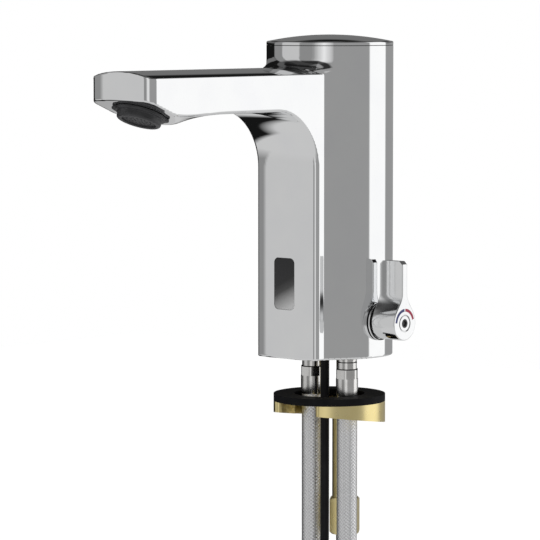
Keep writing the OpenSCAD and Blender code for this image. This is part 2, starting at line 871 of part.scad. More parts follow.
// Aerator, built along its own tilted axis
module aerator_shell() {
    color("#202020") at_outlet() difference() {
        union() {
            translate([0, 0, -aerator_drop]) cylinder(r = aerator_r, h = 2 * aerator_drop);
            translate([0, 0, -ear_t])
                cylinder(r = aerator_bore_r - run_gap, h = ear_t + aerator_depth - aerator_seal_t);
            translate([0, 0, -ear_t]) cylinder(r = flange_r, h = ear_t - run_gap);
            rotate([0, 0, ear_turn]) translate([0, 0, -ear_t])
                linear_extrude(ear_t - run_gap) intersection() {
                    circle(ear_r);
                    for (s = [0, 180]) rotate(s)
                        polygon([[0, 0], 2 * ear_r * [cos(ear_half_angle), -sin(ear_half_angle)],
                                 2 * ear_r * [cos(ear_half_angle), sin(ear_half_angle)]]);
                }
        }
        translate([0, 0, -aerator_drop + insert_gap])
            cylinder(r = aerator_r - aerator_wall, h = 2 * aerator_depth);
        translate([0, 0, -aerator_drop - over])
            cylinder(r = aerator_r - 2 * aerator_wall, h = 2 * aerator_depth);
        rotate_extrude()
            difference() {
                translate([aerator_r - over, -aerator_drop - over]) square([2 * over, 2 * over]);
                translate([aerator_r - over, -aerator_drop + over]) circle(over);
            }
    }
}

module aerator_insert() {
    z0 = -aerator_drop + insert_gap;
    color("#303030") at_outlet() translate([0, 0, z0]) difference() {
        cylinder(r = aerator_r - aerator_wall - run_gap, h = insert_t);
        for (i = [1 : 3]) for (k = [0 : 6 * i - 1])
            rotate(360 * k / (6 * i))
                translate([i * (aerator_r - 2 * aerator_wall) / 4, 0, -over])
                    cylinder(r = aerator_wall / 3, h = insert_t + 2 * over, $fn = 16);
    }
}

module flow_regulator() {
    z0 = -aerator_drop + insert_gap + insert_t;
    color("lightgrey") at_outlet() translate([0, 0, z0]) difference() {
        cylinder(r = aerator_r - aerator_wall - run_gap, h = regulator_t);
        translate([0, 0, -over]) cylinder(r = aerator_wall, h = regulator_t + 2 * over);
    }
}

module aerator_seal() {
    color("black") at_outlet() translate([0, 0, aerator_depth - aerator_seal_t]) difference() {
        cylinder(r = aerator_bore_r - run_gap, h = aerator_seal_t);
        translate([0, 0, -over])
            cylinder(r = aerator_r - 2 * aerator_wall, h = aerator_seal_t + 2 * over);
    }
}

// Fastening below the deck
module mounting_stud() {
    color("gold") bar_z(stud_r, -stud_depth, manifold_z1, 0, stud_y);
}

module clamp_gasket() {
    color("#151515") tube_ring(clamp_r, gasket_in, -horseshoe_top, -deck_gap);
}

// Rounded tip of the horseshoe on one side of its mouth
function tip_x(s) = mouth_x + s * (mouth_half + mouth_r);
function tip_y(s) = -sqrt(pow(clamp_r - mouth_r, 2) - pow(tip_x(s), 2));

module horseshoe_plan() {
    difference() {
        circle(clamp_r);
        intersection() {
            circle(horseshoe_in);
            translate([-clamp_r, -clamp_r]) square([2 * clamp_r, clamp_r + horseshoe_web]);
        }
        translate([mouth_x - mouth_half, -clamp_r - over]) square([2 * mouth_half, clamp_r + over]);
        for (s = [-1, 1])
            polygon([
                [tip_x(s), tip_y(s)], [tip_x(s) - s * 2 * mouth_r, tip_y(s)],
                [tip_x(s) - s * 2 * mouth_r, -clamp_r - over],
                clamp_r / (clamp_r - 2 * mouth_r) * [tip_x(s), tip_y(s)]
            ]);
    }
    for (s = [-1, 1]) translate([tip_x(s), tip_y(s)]) circle(mouth_r);
}

module horseshoe_washer() {
    deep = 2 * clamp_r * tan(horseshoe_slope) + horseshoe_front_t;
    color("goldenrod") difference() {
        translate([0, 0, -horseshoe_top - deep]) linear_extrude(deep) horseshoe_plan();
        // underside falls away towards the back
        translate([0, -clamp_r, -horseshoe_top - horseshoe_front_t])
            rotate([-horseshoe_slope, 0, 0])
                translate([-clamp_r - over, -clamp_r, -deep - clamp_r])
                    cube([2 * (clamp_r + over), 4 * clamp_r, deep + clamp_r]);
        bar_z(sleeve_bore, -horseshoe_top - 2 * deep, over, 0, stud_y);
        bar_z(seat_r, -horseshoe_top - 2 * deep, -seat_depth, 0, stud_y);
    }
}

module sleeve_nut() {
    color("goldenrod") difference() {
        union() {
            bar_z(sleeve_r, -hex_z1 - over, -seat_depth, 0, stud_y);
            intersection() {
                hexagon(nut_flats, -hex_z1 - hex_h, -hex_z1, 0, stud_y);
                union() {
                    corner = nut_flats / 2 / cos(30);
                    bar_z(corner, -hex_z1 - hex_h + nut_chamfer, -hex_z1 - nut_chamfer, 0, stud_y);
                    translate([0, stud_y, -hex_z1 - nut_chamfer])
                        cylinder(r1 = corner, r2 = corner - nut_chamfer, h = nut_chamfer);
                    translate([0, stud_y, -hex_z1 - hex_h])
                        cylinder(r1 = corner - nut_chamfer, r2 = corner, h = nut_chamfer);
                }
            }
        }
        bar_z(stud_r + run_gap, -hex_z1 - hex_h - over, -hex_z1, 0, stud_y);
        bar_z(sleeve_bore, -hex_z1, 0, 0, stud_y);
    }
}

// Hose fitting screwed into the manifold: neck, flats and crimped collar
module fitting(side) {
    top = manifold_z0 + manifold_t / 2;
    color("silver") both_hoses_side(side) difference() {
        union() {
            bar_z(neck_r, -neck_h, top, hose_x);
            intersection() {
                bar_z(collar_r, -neck_h - flat_h, -neck_h, hose_x);
                hexagon(collar_flats, -neck_h - flat_h, -neck_h, hose_x);
            }
            bar_z(collar_r, -collar_z, -neck_h - flat_h, hose_x);
        }
        bar_z(water_r, -collar_z - over, top + over, hose_x);
        translate([0, 0, -groove_z])
            tube_ring(neck_r + over, neck_r - neck_groove, -neck_groove, neck_groove, hose_x);
    }
}
module fitting_cold() { fitting(-1); }
module fitting_hot() { fitting(1); }

module hose(side) {
    color("gainsboro") both_hoses_side(side) swept_tube(HOSE_ROUTE, hose_r, 12);
}
module hose_cold() { hose(-1); }
module hose_hot() { hose(1); }

union_z1 = -hose_length + union_h;
shoulder_under = union_z1 - union_shoulder;
module hose_tail(side) {
    color("silver") both_hoses_side(side) difference() {
        union() {
            bar_z(ferrule_r, hose_end[2] - ferrule_h, hose_end[2], hose_end[0]);
            bar_z(tail_r, shoulder_under - part_gap - tail_flange_t, hose_end[2], hose_end[0]);
            bar_z(tail_flange_r, shoulder_under - part_gap - tail_flange_t,
                  shoulder_under - part_gap, hose_end[0]);
        }
        bar_z(water_r, -hose_length, hose_end[2] - ferrule_h / 2, hose_end[0]);
        tube_ring(ferrule_r + over, ferrule_r - neck_groove, hose_end[2] - ferrule_h / 3,
                  hose_end[2] - ferrule_h / 3 + 2 * neck_groove, hose_end[0]);
        tube_ring(ferrule_r + over, ferrule_r - neck_groove, hose_end[2] - ferrule_h * 2 / 3,
                  hose_end[2] - ferrule_h * 2 / 3 + 2 * neck_groove, hose_end[0]);
    }
}
module hose_tail_cold() { hose_tail(-1); }
module hose_tail_hot() { hose_tail(1); }

module union_nut(side) {
    corner = union_flats / 2 / cos(30);
    color("silver") both_hoses_side(side) difference() {
        intersection() {
            hexagon(union_flats, -hose_length, union_z1, hose_end[0]);
            union() {
                bar_z(corner, -hose_length, union_z1 - nut_chamfer, hose_end[0]);
                translate([hose_end[0], 0, union_z1 - nut_chamfer])
                    cylinder(r1 = corner, r2 = corner - nut_chamfer, h = nut_chamfer);
            }
        }
        bar_z(union_r, -hose_length - over,
              shoulder_under - part_gap - tail_flange_t - seal_t, hose_end[0]);
        bar_z(tail_flange_r + slip / 2, -hose_length, shoulder_under, hose_end[0]);
        bar_z(tail_r + run_gap, shoulder_under - over, union_z1 + over, hose_end[0]);
    }
}
module union_nut_cold() { union_nut(-1); }
module union_nut_hot() { union_nut(1); }

module union_seal(side) {
    z1 = shoulder_under - part_gap - tail_flange_t;
    color("black") both_hoses_side(side)
        tube_ring(tail_flange_r, water_r, z1 - seal_t, z1, hose_end[0]);
}
module union_seal_cold() { union_seal(-1); }
module union_seal_hot() { union_seal(1); }

// Sensor cable: gland in the manifold, free cable and plug
module cable_gland() {
    color("black") difference() {
        union() {
            bar_z(gland_r, manifold_z0 - gland_h, manifold_z0, 0, -cable_y);
            bar_z(gland_neck_r, manifold_z0 - over, manifold_z1, 0, -cable_y);
        }
        bar_z(cable_r, manifold_z0 - gland_h - over, manifold_z1 + over, 0, -cable_y);
    }
}

module sensor_cable() {
    color("#181818") {
        swept_tube(CABLE_ROUTE, cable_r, 8);
    }
}

module cable_plug() {
    z0 = cable_end[2];
    y = cable_end[1];
    color("#202020") {
        bar_z(plug_neck_r, z0 - plug_neck_h - over, z0, 0, y);
        bar_z(plug_r, z0 - plug_h, z0 - plug_neck_h, 0, y);
        for (i = [1 : 3])
            bar_z(plug_neck_r + plug_rib_t / 2, z0 - 2 * i * plug_rib_t - plug_rib_t,
                  z0 - 2 * i * plug_rib_t, 0, y);
    }
}

body_shell();
top_cap();
cap_seal();
inlet_manifold();
manifold_screws();
base_seal();
cartridge_seal();
cartridge_housing();
fixed_disc();
moving_disc();
spindle();
cartridge_nut();
lever_base_ring();
lever();
lever_screw();
lever_cap();
cold_mark();
hot_mark();
mixed_water_pipe();
valve_body();
diaphragm();
solenoid_coil();
plunger();
plunger_spring();
water_tube();
sensor_window();
sensor_module();
ir_emitter();
ir_receiver();
control_board();
aerator_shell();
aerator_seal();
flow_regulator();
aerator_insert();
mounting_stud();
clamp_gasket();
horseshoe_washer();
sleeve_nut();
fitting_cold();
fitting_hot();
hose_cold();
hose_hot();
hose_tail_cold();
hose_tail_hot();
union_nut_cold();
union_nut_hot();
union_seal_cold();
union_seal_hot();
cable_gland();
sensor_cable();
cable_plug();
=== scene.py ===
import bpy
import json
import math
import numpy as np
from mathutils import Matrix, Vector


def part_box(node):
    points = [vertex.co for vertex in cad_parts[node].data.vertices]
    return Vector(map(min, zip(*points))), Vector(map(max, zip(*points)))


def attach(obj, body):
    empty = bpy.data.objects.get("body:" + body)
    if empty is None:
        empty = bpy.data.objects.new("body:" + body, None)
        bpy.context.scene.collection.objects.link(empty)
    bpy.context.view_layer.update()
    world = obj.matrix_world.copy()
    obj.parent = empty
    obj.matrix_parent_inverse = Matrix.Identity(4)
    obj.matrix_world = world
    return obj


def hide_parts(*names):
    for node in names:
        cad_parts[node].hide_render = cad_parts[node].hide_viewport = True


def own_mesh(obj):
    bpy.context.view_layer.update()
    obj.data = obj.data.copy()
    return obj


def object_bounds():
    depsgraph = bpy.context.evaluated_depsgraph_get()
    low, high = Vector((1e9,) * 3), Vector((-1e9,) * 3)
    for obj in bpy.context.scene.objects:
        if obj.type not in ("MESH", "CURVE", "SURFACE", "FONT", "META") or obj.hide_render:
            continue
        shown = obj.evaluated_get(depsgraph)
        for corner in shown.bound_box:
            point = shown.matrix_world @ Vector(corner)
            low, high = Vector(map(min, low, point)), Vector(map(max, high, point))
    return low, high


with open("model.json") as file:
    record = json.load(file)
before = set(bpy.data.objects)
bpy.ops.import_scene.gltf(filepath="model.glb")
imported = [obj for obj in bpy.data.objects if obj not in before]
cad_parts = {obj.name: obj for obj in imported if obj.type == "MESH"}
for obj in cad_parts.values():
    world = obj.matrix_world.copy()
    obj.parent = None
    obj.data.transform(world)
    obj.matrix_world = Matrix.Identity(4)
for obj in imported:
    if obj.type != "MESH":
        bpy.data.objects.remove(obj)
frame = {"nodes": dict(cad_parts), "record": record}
cad_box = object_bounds()
scene = bpy.context.scene
MM = 0.001


# Camera: place, direction and focal length as found from the photograph

cam_data = bpy.data.cameras.new("camera")
cam = bpy.data.objects.new("camera", cam_data)
scene.collection.objects.link(cam)
CAM_POS = Vector((0.9568, -1.1306, 0.1629))
YAW, PITCH = 0.721, 0.0836
SENSOR, FOCAL_PX, WIDTH_PX = 36.0, 3200, 540
cam_data.sensor_width = SENSOR
cam_data.lens = FOCAL_PX / WIDTH_PX * SENSOR
cam_data.clip_start = 0.05
cam_data.clip_end = 50
forward = Vector((-math.sin(YAW) * math.cos(PITCH), math.cos(YAW) * math.cos(PITCH),
                  -math.sin(PITCH)))
cam.location = CAM_POS
cam.rotation_euler = forward.to_track_quat("-Z", "Y").to_euler()
scene.camera = cam


# Materials: each has noise in its roughness and its colour, and some have a fine relief

class Mat:
    """A small builder for procedural materials."""

    def __init__(self, name, base, metallic, rough, **sockets):
        self.mat = bpy.data.materials.new(name)
        self.mat.use_nodes = True
        self.tree = self.mat.node_tree
        self.tree.nodes.clear()
        out = self.node("ShaderNodeOutputMaterial")
        self.bsdf = self.node("ShaderNodeBsdfPrincipled")
        self.link(self.bsdf.outputs[0], out.inputs[0])
        self.bsdf.inputs["Base Color"].default_value = (*base, 1)
        self.bsdf.inputs["Metallic"].default_value = metallic
        self.bsdf.inputs["Roughness"].default_value = rough
        for k, v in sockets.items():
            self.bsdf.inputs[k.replace("_", " ")].default_value = v
        self.coord = self.node("ShaderNodeTexCoord")
        self.mat.diffuse_color = (*base, 1)

    def node(self, kind, **props):
        n = self.tree.nodes.new(kind)
        for k, v in props.items():
            setattr(n, k, v)
        return n

    def link(self, a, b):
        self.tree.links.new(a, b)

    def math(self, op, *values):
        n = self.node("ShaderNodeMath", operation=op)
        for v, socket in zip(values, n.inputs):
            if isinstance(v, (int, float)):
                socket.default_value = v
            else:
                self.link(v, socket)
        return n.outputs[0]

    def noise(self, scale, detail, stretch=None):
        n = self.node("ShaderNodeTexNoise")
        n.inputs["Scale"].default_value = scale
        n.inputs["Detail"].default_value = detail
        source = self.coord.outputs["Object"]
        if stretch:
            m = self.node("ShaderNodeMapping")
            m.inputs["Scale"].default_value = stretch
            self.link(source, m.inputs["Vector"])
            source = m.outputs[0]
        self.link(source, n.inputs["Vector"])
        return n.outputs[0]

    def rough(self, value, low, high):
        """Roughness from low to high with the value."""
        n = self.node("ShaderNodeMapRange")
        n.inputs["To Min"].default_value = low
        n.inputs["To Max"].default_value = high
        self.link(value, n.inputs["Value"])
        self.link(n.outputs[0], self.bsdf.inputs["Roughness"])

    def colour(self, value, stops):
        """Base colour by the value: stops are (position, colour)."""
        n = self.node("ShaderNodeValToRGB")
        el = n.color_ramp.elements
        while len(el) > 1:
            el.remove(el[-1])
        el[0].position = stops[0][0]
        el[0].color = (*stops[0][1], 1)
        for pos, col in stops[1:]:
            el.new(pos).color = (*col, 1)
        self.link(value, n.inputs[0])
        self.link(n.outputs[0], self.bsdf.inputs["Base Color"])

    def bump(self, height, distance, strength):
        n = self.node("ShaderNodeBump")
        n.inputs["Distance"].default_value = distance
        n.inputs["Strength"].default_value = strength
        self.link(height, n.inputs["Height"])
        self.link(n.outputs[0], self.bsdf.inputs["Normal"])


def material(name, base, metallic, rough, worn, tint, grain=None, **sockets):
    """A material from noise.

    worn is (scale, detail, lowest, highest) of the roughness, tint is (scale, detail, stops) of
    the colour, and grain is (noise arguments, distance, strength) of the relief.
    """
    made = Mat(name, base, metallic, rough, **sockets)
    made.rough(made.noise(*worn[:2]), *worn[2:])
    made.colour(made.noise(*tint[:2]), tint[2])
    if grain:
        made.bump(made.noise(*grain[0]), *grain[1:])
    return made


PLATING = (60, 3, [(0.3, (0.885, 0.89, 0.9)), (0.7, (0.915, 0.92, 0.92))])
BLACK = [(0.3, (0.004, 0.004, 0.005)), (0.7, (0.008, 0.008, 0.009))]

chrome = material("chrome", (0.9, 0.905, 0.91), 1.0, 0.03, (900, 4, 0.015, 0.045), PLATING)
satin = material("chrome_lever", (0.9, 0.905, 0.91), 1.0, 0.07, (900, 4, 0.055, 0.1), PLATING)
nickel = material("nickel", (0.8, 0.79, 0.77), 1.0, 0.12, (700, 4, 0.08, 0.2),
                  (200, 4, [(0.3, (0.74, 0.73, 0.71)), (0.7, (0.86, 0.855, 0.84))]),
                  ((1500, 3, (1, 1, 6)), 0.00002, 0.5))
steel = material("steel", (0.6, 0.6, 0.61), 1.0, 0.3, (900, 4, 0.2, 0.42),
                 (300, 4, [(0.3, (0.54, 0.54, 0.55)), (0.7, (0.66, 0.66, 0.67))]))
brass = material("brass", (0.96, 0.81, 0.4), 1.0, 0.3, (300, 4, 0.24, 0.34),
                 (90, 4, [(0.25, (0.94, 0.78, 0.36)), (0.5, (0.96, 0.81, 0.4)),
                          (0.8, (0.98, 0.84, 0.45))]),
                 ((900, 3), 0.00002, 0.25))
stud_mat = material("yellow_plated", (0.78, 0.68, 0.4), 1.0, 0.3, (600, 4, 0.2, 0.4),
                    (150, 4, [(0.3, (0.7, 0.58, 0.3)), (0.7, (0.85, 0.76, 0.5))]))
copper = material("copper", (0.75, 0.42, 0.27), 1.0, 0.28, (400, 4, 0.2, 0.36),
                  (80, 5, [(0.3, (0.66, 0.33, 0.2)), (0.7, (0.82, 0.5, 0.34))]))
rubber = material("rubber", (0.006, 0.006, 0.007), 0.0, 0.6, (800, 4, 0.5, 0.72),
                  (150, 4, BLACK), ((2500, 3), 0.00003, 0.6), Specular_IOR_Level=0.1)
jacket = material("cable_jacket", (0.006, 0.006, 0.007), 0.0, 0.38, (900, 4, 0.3, 0.46),
                  (200, 3, BLACK), ((1800, 3, (1, 1, 0.2)), 0.00002, 0.5),
                  Specular_IOR_Level=0.15)
black_plastic = material("black_plastic", (0.03, 0.03, 0.032), 0.0, 0.42, (900, 4, 0.34, 0.5),
                         (300, 4, [(0.3, (0.024, 0.024, 0.026)), (0.7, (0.04, 0.04, 0.043))]),
                         ((3000, 3), 0.00002, 0.5))
black_oxide = material("black_oxide", (0.05, 0.05, 0.052), 0.6, 0.4, (1500, 3, 0.32, 0.5),
                       (900, 3, [(0.3, (0.035, 0.035, 0.037)), (0.7, (0.07, 0.07, 0.072))]))
white_plastic = material("white_plastic", (0.72, 0.72, 0.7), 0.0, 0.4, (700, 3, 0.32, 0.48),
                         (120, 3, [(0.3, (0.69, 0.69, 0.67)), (0.7, (0.76, 0.76, 0.74))]))
ceramic = material("ceramic", (0.8, 0.78, 0.74), 0.0, 0.2, (500, 3, 0.14, 0.26),
                   (150, 3, [(0.3, (0.77, 0.75, 0.71)), (0.7, (0.84, 0.82, 0.78))]))
board = material("green_board", (0.02, 0.16, 0.06), 0.0, 0.35, (700, 3, 0.28, 0.42),
                 (300, 4, [(0.3, (0.015, 0.13, 0.05)), (0.7, (0.03, 0.2, 0.08))]))
glass = material("sensor_glass", (0.006, 0.005, 0.007), 0.0, 0.06, (900, 3, 0.04, 0.1),
                 (90, 3, [(0.3, (0.004, 0.004, 0.005)), (0.7, (0.009, 0.007, 0.01))]),
                 Coat_Weight=0.6, Coat_Roughness=0.03)
blue = material("blue_mark", (0.02, 0.03, 0.14), 0.0, 0.3, (900, 3, 0.24, 0.36),
                (700, 3, [(0.3, (0.018, 0.026, 0.12)), (0.7, (0.03, 0.04, 0.17))]))
red = material("red_mark", (0.35, 0.01, 0.05), 0.0, 0.3, (900, 3, 0.24, 0.36),
               (700, 3, [(0.3, (0.3, 0.008, 0.04)), (0.7, (0.4, 0.014, 0.06))]))

# The sensor's cover is dark glass with a painted reflection in its colour: a pale patch towards
# its lower corner.
# It grows downwards, and half as fast towards +X.
REFLECTION_START, REFLECTION_END, REFLECTION_ACROSS, REFLECTION_DOWN, REFLECTION_NOISE = -46, -22, 500, -1000, 0.8
cover = Mat("sensor_cover", (0.006, 0.005, 0.007), 0.0, 0.06)
cover.rough(cover.noise(900, 3), 0.04, 0.1)
place = cover.node("ShaderNodeSeparateXYZ")
cover.link(cover.coord.outputs["Object"], place.inputs[0])
lean = cover.math("ADD", cover.math("MULTIPLY", place.outputs[0], REFLECTION_ACROSS),
                  cover.math("MULTIPLY", place.outputs[2], REFLECTION_DOWN))
lean = cover.math("ADD", lean, cover.math("MULTIPLY", cover.noise(300, 3), REFLECTION_NOISE))
# Painted reflection: the cover's colour turns pale grey towards its lower corner, with a noisy
# edge
painted_reflection = cover.node("ShaderNodeMapRange")
painted_reflection.inputs["From Min"].default_value = REFLECTION_START
painted_reflection.inputs["From Max"].default_value = REFLECTION_END
cover.link(lean, painted_reflection.inputs["Value"])
cover.colour(painted_reflection.outputs[0], [(0.0, (0.004, 0.004, 0.005)), (0.45, (0.01, 0.01, 0.011)),
                               (0.62, (0.05, 0.05, 0.05)), (0.8, (0.28, 0.28, 0.28)),
                               (1.0, (0.5, 0.5, 0.5))])

# Steel braid: two sets of flat strands of fine wires, crossing over and under. STRANDS is the
# number round the hose, ROWS the number in a metre of it.
STRANDS, ROWS, WIRES = 20, 620, 3
braid = Mat("steel_braid", (0.7, 0.7, 0.71), 1.0, 0.3)
uv = braid.node("ShaderNodeUVMap")
uv.uv_map = "UVMap"
sep = braid.node("ShaderNodeSeparateXYZ")
braid.link(uv.outputs[0], sep.inputs[0])
round_hose = braid.math("MULTIPLY", sep.outputs[0], STRANDS)
down_hose = braid.math("MULTIPLY", sep.outputs[1], ROWS)
ways = [braid.math(op, round_hose, down_hose) for op in ("ADD", "SUBTRACT")]
parts = [braid.math("FRACT", way) for way in ways]
cell = braid.math("ADD", *(braid.math("FLOOR", way) for way in ways))
first_over = braid.math("GREATER_THAN", braid.math("MODULO", braid.math("ABSOLUTE", cell), 2),
                        0.5)
humps = [braid.math("SINE", braid.math("MULTIPLY", part, math.pi)) for part in parts]
wires = [braid.math("ABSOLUTE", braid.math("SINE", braid.math("MULTIPLY", part,
                                                              WIRES * math.pi)))
         for part in parts]


def strand(across, along, fine):
    """Height of a strand: round across, dipping at its ends, with its wires on top."""
    body = braid.math("MULTIPLY", braid.math("POWER", across, 0.5),
                      braid.math("ADD", braid.math("MULTIPLY", along, 0.7), 0.3))
    return braid.math("ADD", braid.math("MULTIPLY", body, 0.8),
                      braid.math("MULTIPLY", fine, 0.2))


over = braid.math("MULTIPLY", strand(humps[0], humps[1], wires[0]), first_over)
other = braid.math("MULTIPLY", strand(humps[1], humps[0], wires[1]),
                   braid.math("SUBTRACT", 1.0, first_over))
height = braid.math("ADD", over, other)
braid.bump(height, 0.0002, 0.7)
# Painted shade: the braid's colour is darker in the dips between the strands and lighter on their
# tops
braid.colour(height, [(0.05, (0.5, 0.5, 0.505)), (0.4, (0.84, 0.84, 0.85)),
                      (0.9, (0.97, 0.97, 0.98))])
braid.rough(braid.noise(900, 3), 0.22, 0.36)


# Mesh helpers

def new_object(name, verts, faces, mat, smooth=True, uvs=None):
    me = bpy.data.meshes.new(name)
    me.from_pydata([tuple(v) for v in verts], [], faces)
    if uvs:
        layer = me.uv_layers.new(name="UVMap")
        for loop, uvw in zip(layer.data, uvs):
            loop.uv = uvw
    me.validate()
    for p in me.polygons:
        p.use_smooth = smooth
    ob = bpy.data.objects.new(name, me)
    scene.collection.objects.link(ob)
    me.materials.append(mat.mat)
    return ob


def strip(rings, sides, closed=False):
    """Faces between rings of points, and from the last ring to the first if closed."""
    faces = []
    for i in range(rings if closed else rings - 1):
        i2 = (i + 1) % rings
        for k in range(sides):
            k2 = (k + 1) % sides
            faces.append((i * sides + k, i2 * sides + k, i2 * sides + k2, i * sides + k2))
    return faces


def ends(rings, sides):
    """The faces that close a strip at its first and its last ring."""
    last = (rings - 1) * sides
    return [tuple(range(sides)), tuple(range(last + sides - 1, last - 1, -1))]


def catmull(points, step):
    """A smooth path through the points, with a point about every step."""
    pts = [Vector(p) for p in points]
    ext = [2 * pts[0] - pts[1]] + pts + [2 * pts[-1] - pts[-2]]
    out = []
    for i in range(1, len(ext) - 2):
        p0, p1, p2, p3 = ext[i - 1:i + 3]
        n = max(1, round((p2 - p1).length / step))
        for k in range(n):
            t = k / n
            out.append(0.5 * ((2 * p1) + (p2 - p0) * t + (2 * p0 - 5 * p1 + 4 * p2 - p3) * t * t
                              + (3 * p1 - p0 - 3 * p2 + p3) * t ** 3))
    out.append(pts[-1])
    return out


def tube(name, path, radius, sides, mat):
    """A closed tube along the path, with u round it and v in metres along it."""
    verts, uvs, v_at = [], [], []
    run = 0.0
    for i, p in enumerate(path):
        t = (path[min(i + 1, len(path) - 1)] - path[max(i - 1, 0)]).normalized()
        a1 = Vector((0, 1, 0)).cross(t).normalized()
        b1 = t.cross(a1)
        if i:
            run += (p - path[i - 1]).length
        v_at.append(run)
        for k in range(sides):
            w = 2 * math.pi * k / sides
            verts.append(p + radius * (math.cos(w) * a1 + math.sin(w) * b1))
    for v0, v1 in zip(v_at, v_at[1:]):
        for k in range(sides):
            u0, u1 = k / sides, (k + 1) / sides
            uvs += [(u0, v0), (u0, v1), (u1, v1), (u1, v0)]
    uvs += [(0, 0)] * (2 * sides)
    ob = new_object(name, verts, strip(len(path), sides) + ends(len(path), sides), mat, True, uvs)
    for p in ob.data.polygons[-2:]:
        p.use_smooth = False
    return ob


# Cords: the supply hoses and the sensor cable. The routes are in millimetres. The hot hose has
# HOSE_ROUTE as it is, and the cold one is its mirror image.

HOSE_ROUTE = [
    (10.7, 0, -19.5), (10.7, 0, -30), (10.7, 0, -45), (10.7, 0, -60), (10.7, 0, -75),
    (10.7, 0, -90), (10.8, 0, -105), (11.1, 0, -120), (11.8, 0, -140), (12.8, 0, -160),
    (13.9, 0, -180), (15.0, 0, -200), (16.0, 0, -220), (16.8, 0, -240), (17.3, 0, -260),
    (17.5, 0, -275), (17.5, 0, -290), (17.5, 0, -302), (17.5, 0, -313)]
CABLE_ROUTE = [
    (0, -3.2, 9.2), (0, -3.2, -1.4), (0, -3.2, -15), (0, -3.2, -30), (0, -3.2, -45),
    (0, -3.2, -60), (0, -3.2, -75), (0, -3.3, -90), (0, -3.6, -105), (0, -4.2, -120),
    (0, -5.2, -140), (0, -6.4, -160), (0, -7.6, -180), (0, -8.6, -200), (0, -9.3, -220),
    (0, -9.6, -240), (0, -9.6, -260), (0, -9.3, -280), (0, -8.9, -300), (0, -8.6, -320),
    (0, -8.5, -340), (0, -8.5, -360), (0, -8.5, -380), (0, -8.5, -400)]
ROUTE_STEP = 2 * MM
HOSE_R, HOSE_SIDES = 4.72 * MM, 48
CABLE_R, CABLE_SIDES = 2.03 * MM, 24


def node_object(name):
    return frame["nodes"][name]


for side, which in ((-1, "cold"), (1, "hot")):
    route = [(side * x * MM, y * MM, z * MM) for x, y, z in HOSE_ROUTE]
    path = catmull(route, ROUTE_STEP)
    hose = tube("braided_hose_" + which, path, HOSE_R, HOSE_SIDES, braid)
    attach(hose, "tap")
    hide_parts("hose_" + which)

cable_path = catmull([(x * MM, y * MM, z * MM) for x, y, z in CABLE_ROUTE], ROUTE_STEP)
cable = tube("lead", cable_path, CABLE_R, CABLE_SIDES, jacket)
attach(cable, "tap")
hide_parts("sensor_cable")


# The plunger's spring, as a coil in the box of the frame's spring

COIL_R, WIRE_R, LIFT = 3 * MM, 0.4 * MM, 1.5 * MM
TURNS, COIL_STEPS, WIRE_SIDES = 5, 160, 10


def coil(name, low, high, mat):
    """A helical spring that fills the box from low to high."""
    verts = []
    for i in range(COIL_STEPS + 1):
        a = 2 * math.pi * TURNS * i / COIL_STEPS
        rise = low.z + WIRE_R + (high.z - low.z - 2 * WIRE_R) * i / COIL_STEPS
        for k in range(WIRE_SIDES):
            w = 2 * math.pi * k / WIRE_SIDES
            r = COIL_R + WIRE_R * math.cos(w)
            verts.append(((low.x + high.x) / 2 + r * math.cos(a),
                          (low.y + high.y) / 2 + r * math.sin(a), rise + WIRE_R * math.sin(w)))
    rings = COIL_STEPS + 1
    return new_object(name, verts, strip(rings, WIRE_SIDES) + ends(rings, WIRE_SIDES), mat)


low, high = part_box("plunger_spring")
spring = coil("return_spring", low, high, steel)
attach(spring, "tap")
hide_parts("plunger_spring")
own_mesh(spring)


# Finishes of the frame's own pieces

MATERIAL_OF = {
    "chrome": chrome, "steel": steel, "nickel": nickel, "braid": braid, "brass": brass,
    "plated_stud": stud_mat, "copper": copper, "rubber": rubber, "cable_jacket": jacket,
    "black_plastic": black_plastic, "white_plastic": white_plastic, "ceramic": ceramic,
    "sensor_glass": glass, "green_board": board, "blue_mark": blue, "red_mark": red}

for part in frame["record"]["subparts"]:
    ob = node_object(part["node"])
    mat = cover if part["node"] == "sensor_window" else MATERIAL_OF[part["material_slot"]]
    if not ob.material_slots:
        ob.data.materials.append(mat.mat)
    for s in ob.material_slots:
        s.material = mat.mat


# Smooth surfaces. A field gives each point's distance from the surface in millimetres, about
# right near it and negative inside.

def clip_round(a, b, r):
    """What is in both a and b, with the edge between them rounded to r."""
    u = np.maximum(a + r, 0)
    v = np.maximum(b + r, 0)
    return np.minimum(-r, np.maximum(a, b)) + np.sqrt(u * u + v * v)


def join_round(a, b, r):
    """What is in a or b, with a fillet of r in the corner between them."""
    u = np.maximum(r - a, 0)
    v = np.maximum(r - b, 0)
    return np.maximum(r, np.minimum(a, b)) - np.sqrt(u * u + v * v)


def ease(v, lo, hi):
    """A soft step from 0 at lo to 1 at hi."""
    t = np.clip((v - lo) / (hi - lo), 0, 1)
    return t * t * (3 - 2 * t)


def gradient(field, p, e=0.004):
    """Unit normals of the field at the points."""
    g = np.empty_like(p)
    for k in range(3):
        hi, lo = p.copy(), p.copy()
        hi[:, k] += e
        lo[:, k] -= e
        g[:, k] = field(hi[:, 0], hi[:, 1], hi[:, 2]) - field(lo[:, 0], lo[:, 1], lo[:, 2])
    return g / np.maximum(np.linalg.norm(g, axis=1, keepdims=True), 1e-12)


FREE_SHARE = 0.08    # a direction with less than this share of the largest isn't held
CELL_SLACK = 0.1     # how far a vertex may leave its cell, in cells
ROUND_MEAN = 0.97    # normals that agree this well belong to a smooth place, not to an edge
TO_MIDDLE = 0.28     # where a corner's shading is taken, on the way to its face's middle
AGAINST = 0.2        # shading that leans further than this from its face is left flat
SEARCH_STEPS = 5     # towards each crossing
SETTLE_STEPS = 2     # of the vertices in smooth places, down to the surface


